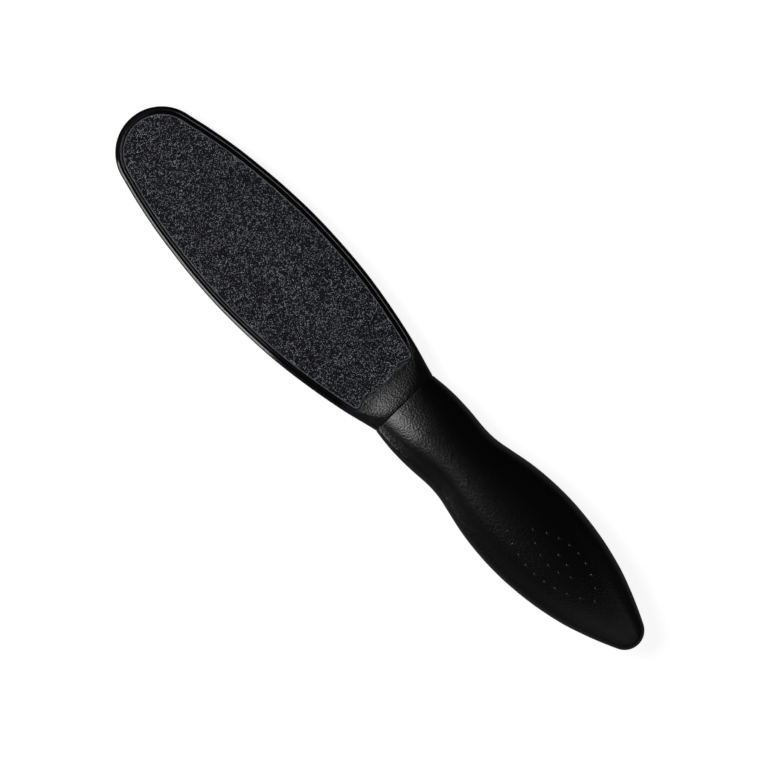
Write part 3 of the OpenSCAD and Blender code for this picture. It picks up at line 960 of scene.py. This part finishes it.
@dataclass
class AbrasivePad:
    """One pad: a sheet of resin with grains that stand out of it, on its backing and adhesive."""

    face: Face
    plan: HeadPlan
    lie: LyingFrame
    grit_thickness: float
    grain: float
    spacing: float
    stand: float
    seed: int
    top: float = 3.2
    edge_margin: float = 0.1
    ridge: float = 0.16
    smallest: tuple[float, float, float] = (0.6, 0.6, 0.5)
    largest: tuple[float, float, float] = (1.25, 1.25, 0.95)
    tallness: float = 1.33
    points_per_m2: float = 6e7
    size_seed: int = 7
    shade_seed: int = 11
    flat_cosine: float = 0.95

    def _loop(self, inset: float, z: float) -> np.ndarray:
        """Draws the pad's outline.

        Args:
            inset: Distance in from the outline.
            z: Height over the middle plane.

        Returns:
            Closed loop of (x, y, z).
        """
        row = self.plan.pad_row(inset)
        return at_height(np.concatenate([row, row[:1]]), z)

    def _flat_sheet(self, low: float, high: float) -> Skin:
        """Draws a sheet of the pad's outline, with the ridge that the die leaves along its edge.

        Args:
            low: Height of its lower face over the middle plane.
            high: Height of its upper face.

        Returns:
            The sheet's closed skin.
        """
        skin = Skin()
        rows = [self._loop(0, low), self._loop(0, high),
                self._loop(self.ridge, high + self.ridge), self._loop(2 * self.ridge, high)]
        skin.bands(rows)
        centre = self.plan.length / 2
        skin.fan((centre, 0, high), rows[-1][::-1])
        skin.fan((centre, 0, low), rows[0])
        return skin

    def _tree(self) -> NodeTree:
        """Scatters four-sided grains over a flat sheet, each with its own turn, size and shade.

        Returns:
            The tree.
        """
        tree, given = new_tree(f"{self.face.word} grains", {
            "Spacing": "NodeSocketFloat", "Grain Size": "NodeSocketFloat",
            "Seed": "NodeSocketInt", "Finish": "NodeSocketMaterial"})
        points = add_node(tree, "GeometryNodeDistributePointsOnFaces",
                          {"distribute_method": "POISSON"},
                          {"Mesh": given.outputs["Geometry"],
                           "Distance Min": given.outputs["Spacing"],
                           "Density Max": self.points_per_m2, "Seed": given.outputs["Seed"]})
        turn = add_node(tree, "FunctionNodeRandomValue", {"data_type": "FLOAT_VECTOR"},
                        {0: (0, 0, 0), 1: (math.tau, math.tau, math.tau),
                         "Seed": given.outputs["Seed"]})
        size = add_node(tree, "FunctionNodeRandomValue", {"data_type": "FLOAT_VECTOR"},
                        {0: self.smallest, 1: self.largest, "Seed": self.size_seed})
        shade = add_node(tree, "FunctionNodeRandomValue", {"data_type": "FLOAT"},
                         {2: 0.0, 3: 1.0, "Seed": self.shade_seed})
        tall = add_node(tree, "ShaderNodeMath", {"operation": "MULTIPLY"},
                        {0: given.outputs["Grain Size"], 1: self.tallness})
        grain = add_node(tree, "GeometryNodeMeshCone", inputs={
            "Vertices": 3, "Radius Bottom": given.outputs["Grain Size"], "Depth": tall})
        grains = add_node(tree, "GeometryNodeInstanceOnPoints", inputs={
            "Points": points, "Instance": grain, "Rotation": turn, "Scale": size})
        shaded = add_node(tree, "GeometryNodeStoreNamedAttribute",
                          {"data_type": "FLOAT", "domain": "INSTANCE"},
                          {"Geometry": grains, "Name": "shade", "Value": shade.outputs[1]})
        return close_tree(tree, given, shaded, False)

    def _grains(self, finish: Material) -> Object:
        """Makes the grains, cut off level with the pad's top as in a levelled sheet.

        Args:
            finish: The grains' finish.

        Returns:
            One piece with all of them.
        """
        sheet = Skin()
        level = self.top - self.stand
        sheet.fan((self.plan.length / 2, 0, level),
                  self._loop(self.edge_margin + self.grain / 2, level)[::-1])
        carrier = sheet.piece("grain_sheet", None)
        piece = bake_tree(carrier, self._tree(), {
            "Spacing": self.spacing * MM, "Grain Size": self.grain / 2 * MM, "Seed": self.seed,
            "Finish": finish}, f"{self.face.word}_grains")
        mesh = piece.data
        co = np.empty(len(mesh.vertices) * 3)
        mesh.vertices.foreach_get("co", co)
        flat = co.reshape(-1, 3) / MM
        flat[:, 2] = np.minimum(flat[:, 2], self.top) * self.face.up
        mesh.vertices.foreach_set("co", self.lie.lay(flat).ravel())
        if self.face.up < 0:
            mesh.flip_normals()
        mesh.update()
        return piece

    def build(self, resin: Material, cut: Material, grains: Material) -> tuple[Object, Object]:
        """Makes the resin sheet and its grains.

        Args:
            resin: The resin between the grains.
            cut: The sheet's cut edge.
            grains: The grains.

        Returns:
            The sheet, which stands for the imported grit, and the grains.
        """
        sheet = self._flat_sheet(self.top - self.grit_thickness, self.top - self.stand)
        if self.face.up < 0:
            sheet = sheet.mirrored()
        resin_piece = sheet.piece(f"{self.face.word}_resin", self.lie)
        resin_piece.data.materials.append(resin)
        resin_piece.data.materials.append(cut)
        up = Vector(self.lie.turn((0, 0, 1)))
        for face in resin_piece.data.polygons:
            face.material_index = int(abs(face.normal @ up) < self.flat_cosine)
        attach(resin_piece, BODY)
        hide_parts(f"{self.face.word}_grit")
        grain_piece = self._grains(grains)
        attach(grain_piece, BODY)
        return resin_piece, grain_piece


def new_surface(name: str, roughness: float, ior: float) -> tuple[Material, Node]:
    """Starts a material.

    Args:
        name: The real material, and how its surface was made.
        roughness: Roughness of the surface.
        ior: Index of refraction.

    Returns:
        The material and its shader.
    """
    material = bpy.data.materials.new(name)
    material.use_nodes = True
    shader = material.node_tree.nodes["Principled BSDF"]
    shader.inputs["Roughness"].default_value = roughness
    shader.inputs["IOR"].default_value = ior
    return material, shader


@dataclass(frozen=True)
class MouldedFinish:
    """A polymer with the craters of its spark-eroded mould, or with a like unevenness.

    The craters are drawn coarser than real ones, which are about 0.1 mm and would not show.
    """

    name: str
    colour: str
    roughness: float
    ior: float
    texture_mm: float
    relief_mm: float
    specular: float = 0.5
    textured_from_mm: float | None = None
    fade_mm: float = 4.0
    smoother: float = 0.14
    softness: float = 0.35

    def build(self) -> Material:
        """Makes the material.

        Returns:
            The material, textured all over or only from textured_from_mm on.
        """
        material, shader = new_surface(self.name, self.roughness, self.ior)
        tree = material.node_tree
        shader.inputs["Base Color"].default_value = linear(self.colour)
        shader.inputs["Specular IOR Level"].default_value = self.specular
        place = add_node(tree, "ShaderNodeTexCoord")
        craters = add_node(tree, "ShaderNodeTexVoronoi", {"feature": "SMOOTH_F1"},
                           {"Vector": place.outputs["Object"],
                            "Scale": 1 / (self.texture_mm * MM), "Smoothness": self.softness})
        bump = add_node(tree, "ShaderNodeBump", inputs={
            "Height": craters, "Distance": self.relief_mm * MM, "Strength": 1.0})
        tree.links.new(bump.outputs[0], shader.inputs["Normal"])
        if self.textured_from_mm is not None:
            x = add_node(tree, "ShaderNodeSeparateXYZ", inputs={0: place.outputs["Object"]})
            share = add_node(tree, "ShaderNodeMapRange", inputs={
                "Value": x.outputs["X"], "From Min": self.textured_from_mm * MM,
                "From Max": (self.textured_from_mm + self.fade_mm) * MM})
            tree.links.new(share.outputs[0], bump.inputs["Strength"])
            dull = add_node(tree, "ShaderNodeMapRange", inputs={
                "Value": share, "To Min": self.roughness - self.smoother,
                "To Max": self.roughness})
            tree.links.new(dull.outputs[0], shader.inputs["Roughness"])
        return material


@dataclass(frozen=True)
class GrainFinish:
    """Crushed silicon carbide: each grain's shade is drawn at random, most grains are dark, and one
    in four is pale.

    The pale, near-white colour is a painted glint that stands in for the flash of the grains'
    facets. The real index is 2.65. It is lowered here to match the pad's look.
    """

    name: str
    # Near-white colour of the pale grains: a painted glint
    bright: str
    dark: str = "#050609"
    middle: str = "#20232e"
    middle_at: float = 0.62
    bright_at: float = 0.78
    roughness: float = 0.36
    ior: float = 1.6

    def build(self) -> Material:
        """Makes the material, with each grain's shade from its own attribute.

        Returns:
            The material.
        """
        material, shader = new_surface(self.name, self.roughness, self.ior)
        tree = material.node_tree
        shade = add_node(tree, "ShaderNodeAttribute", {"attribute_name": "shade"})
        ramp = add_node(tree, "ShaderNodeValToRGB", inputs={"Fac": shade.outputs["Fac"]})
        stops = ramp.color_ramp.elements
        stops[0].color = linear(self.dark)
        # The pale stops paint glints into the grains' colour in place of their facets' flash
        stops[1].color = linear(self.bright)
        stops.new(self.middle_at).color = linear(self.middle)
        stops.new(self.bright_at).color = linear(self.bright)
        tree.links.new(ramp.outputs[0], shader.inputs["Base Color"])
        return material


@dataclass(frozen=True)
class Softbox:
    """A rectangular lamp that faces a target from a direction."""

    name: str
    toward: tuple[float, float, float]
    distance: float
    size: tuple[float, float]
    power: float
    target: tuple[float, float, float] = (0, 0, 0)

    def build(self) -> None:
        """Makes the lamp."""
        data = bpy.data.lights.new(self.name, "AREA")
        data.shape = "RECTANGLE"
        data.size, data.size_y = self.size
        data.energy = self.power
        lamp = link_object(self.name, data)
        direction = Vector(self.toward).normalized()
        lamp.location = Vector(self.target) + direction * self.distance
        lamp.rotation_euler = direction.to_track_quat("Z", "Y").to_euler()
        lamp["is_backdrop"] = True


@dataclass
class Studio:
    """A white table under one softbox, with strips for the rim and panels that even the table."""

    frame_width: float = 252.01 * MM
    distance: float = 4.0
    sensor: float = 36.0
    clip_end: float = 20
    turn_degrees: float = 45.893
    left_px: float = 0.32
    rise_px: float = 2.3
    picture_px: int = 768
    floor_colour: str = "#a8a8a8"
    floor_glow: float = 0.894
    floor_half: float = 6.0
    world_level: float = 0.02
    softboxes: tuple[Softbox, ...] = (
        Softbox("high_softbox", (-0.44, -0.29, 0.86), 1.3, (0.42, 0.42), 4.2),
        Softbox("low_strip", (0, -0.99, 0.143), 0.22, (0.23, 0.016), 0.106, (-0.138, 0, 0.004)),
        Softbox("rim_strip", (0, -0.87, 0.5), 0.23, (0.182, 0.016), 0.039, (-0.122, 0, 0.004)),
        Softbox("side_panel", (0, -0.9, 0.45), 1.6, (2.4, 1.2), 0.9),
        Softbox("end_panel", (0.85, -0.1, 0.6), 1.6, (1.6, 1.2), 1.0),
        Softbox("left_corner_panel", (0.55, 0.75, 0.6), 1.6, (1.3, 1.3), 0.22),
        Softbox("right_corner_panel", (0.6, -0.75, 0.5), 1.6, (1.0, 1.2), 0.3),
        Softbox("tail_panel", (0.45, -0.05, 0.86), 1.6, (2.4, 0.6), 0.95),
        Softbox("tip_panel", (-0.8, 0, 0.75), 1.5, (0.9, 0.9), 1.5))

    def camera(self, lie: LyingFrame) -> None:
        """Sets the camera above the middle of the file, turned so that the file runs down right.

        Args:
            lie: How the file lies.
        """
        data = bpy.data.cameras.new("camera")
        data.sensor_width = self.sensor
        data.lens = self.sensor * self.distance / self.frame_width
        data.clip_end = self.clip_end
        camera = link_object("camera", data)
        turn = math.radians(self.turn_degrees)
        pixel = self.frame_width / self.picture_px
        right, down = self.left_px * pixel, self.rise_px * pixel
        middle = (lie.low[0] + lie.high[0]) / 2
        camera.location = (middle + right * math.cos(turn) + down * math.sin(turn),
                           right * math.sin(turn) - down * math.cos(turn),
                           lie.middle.z + self.distance)
        camera.rotation_euler = (0, 0, turn)
        bpy.context.scene.camera = camera

    def room(self) -> None:
        """Sets a dim room that the camera sees white."""
        world = bpy.data.worlds.new("room")
        bpy.context.scene.world = world
        world.use_nodes = True
        tree = world.node_tree
        dim = tree.nodes["Background"]
        dim.inputs["Color"].default_value = (1, 1, 1, 1)
        dim.inputs["Strength"].default_value = self.world_level
        white = add_node(tree, "ShaderNodeBackground",
                         inputs={"Color": (1, 1, 1, 1), "Strength": 1.0})
        rays = add_node(tree, "ShaderNodeLightPath")
        mix = add_node(tree, "ShaderNodeMixShader", inputs={
            0: rays.outputs["Is Camera Ray"], 1: dim, 2: white})
        tree.links.new(mix.outputs[0], tree.nodes["World Output"].inputs["Surface"])

    def table(self) -> None:
        """Lays a table that the camera sees white and that keeps the file's shadow."""
        mesh = bpy.data.meshes.new("floor")
        half = self.floor_half
        mesh.from_pydata([(-half, -half, 0), (half, -half, 0), (half, half, 0), (-half, half, 0)],
                         [], [(0, 1, 2, 3)])
        floor = link_object("floor", mesh)
        material = bpy.data.materials.new("white table")
        material.use_nodes = True
        tree = material.node_tree
        tree.nodes.remove(tree.nodes["Principled BSDF"])
        matt = add_node(tree, "ShaderNodeBsdfDiffuse", inputs={"Color": linear(self.floor_colour)})
        rays = add_node(tree, "ShaderNodeLightPath")
        glow = add_node(tree, "ShaderNodeMath", {"operation": "MULTIPLY"},
                        {0: rays.outputs["Is Camera Ray"], 1: self.floor_glow})
        light = add_node(tree, "ShaderNodeEmission", inputs={"Strength": glow})
        both = add_node(tree, "ShaderNodeAddShader", inputs={0: matt, 1: light})
        tree.links.new(both.outputs[0], tree.nodes["Material Output"].inputs["Surface"])
        mesh.materials.append(material)
        floor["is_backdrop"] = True

    def build(self, lie: LyingFrame) -> None:
        """Sets up the whole studio.

        Args:
            lie: How the file lies.
        """
        self.camera(lie)
        for softbox in self.softboxes:
            softbox.build()
        self.room()
        self.table()
        bpy.context.scene.view_settings.view_transform = "Standard"


def dress_node(node: Object, finish: Material) -> None:
    """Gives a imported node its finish."""
    for place in node.material_slots:
        place.material = finish


def main() -> None:
    """Builds every sub-assembly in order and reports each piece."""
    logging.basicConfig(level=logging.INFO, format="%(message)s")
    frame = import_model()
    lie = LyingFrame.read(frame["record"])

    # Polypropylene from a spark-eroded mould: black, with a sheen that its craters break up.
    # They start at the neck, and the rim of the head is smoother and glossier.
    plastic = MouldedFinish("spark-eroded polypropylene", "#050505", 0.29, 1.5, 0.62, 0.072,
                            textured_from_mm=-6.0).build()
    # Thermoplastic elastomer: black, with a shallower texture and a broad, soft sheen
    soft = MouldedFinish("soft-touch elastomer", "#040404", 0.25, 1.5, 0.62, 0.043).build()
    # Polyester film: a smooth dark grey edge
    backing = MouldedFinish("polyester backing", "#2a2a2b", 0.45, 1.6, 0.6, 0.02).build()
    # Acrylic adhesive: a thin cream film
    adhesive = MouldedFinish("acrylic adhesive film", "#6e6a5e", 0.35, 1.47, 0.8, 0.025).build()
    # Phenolic resin with dark filler: a dull bed between the grains
    resin = MouldedFinish("dark phenolic resin", "#0d0e14", 0.7, 1.5, 0.6, 0.05, 0.2).build()
    # Die-cut edge of the sheet: broken resin and grains, much lighter than the sheet's face
    cut = MouldedFinish("die-cut edge", "#797c82", 0.45, 1.5, 0.6, 0.05).build()
    # Crushed silicon carbide: blue-grey grains, a quarter of them near-white as painted glints that
    # make the pad sparkle
    coarse = GrainFinish("coarse silicon carbide", "#eef2ff").build()
    # The finer grade: smaller grains whose painted glints are greyer, for a more even and darker
    # face
    fine = GrainFinish("fine silicon carbide", "#d6dbea").build()

    plan = HeadPlan()
    head = Head(plan, lie).build(plastic)
    grip = Grip(lie)
    skin = grip.build(soft)
    dots = GripDots(grip).build(skin, soft)
    upper = AbrasivePad(Face.COARSE, plan, lie, grit_thickness=0.5, grain=0.44, spacing=0.26,
                        stand=0.245, seed=3).build(resin, cut, coarse)
    lower = AbrasivePad(Face.FINE, plan, lie, grit_thickness=0.3, grain=0.38, spacing=0.28,
                        stand=0.16, seed=5).build(resin, cut, fine)
    for piece in (head, skin, dots, *upper, *lower):
        LOG.info("%s: %d faces", piece.name, len(piece.data.polygons))
    for face in Face:
        dress_node(frame["nodes"][f"{face.word}_backing"], backing)
        dress_node(frame["nodes"][f"{face.word}_adhesive"], adhesive)
    Studio().build(lie)


if __name__ == "__main__":
    main()
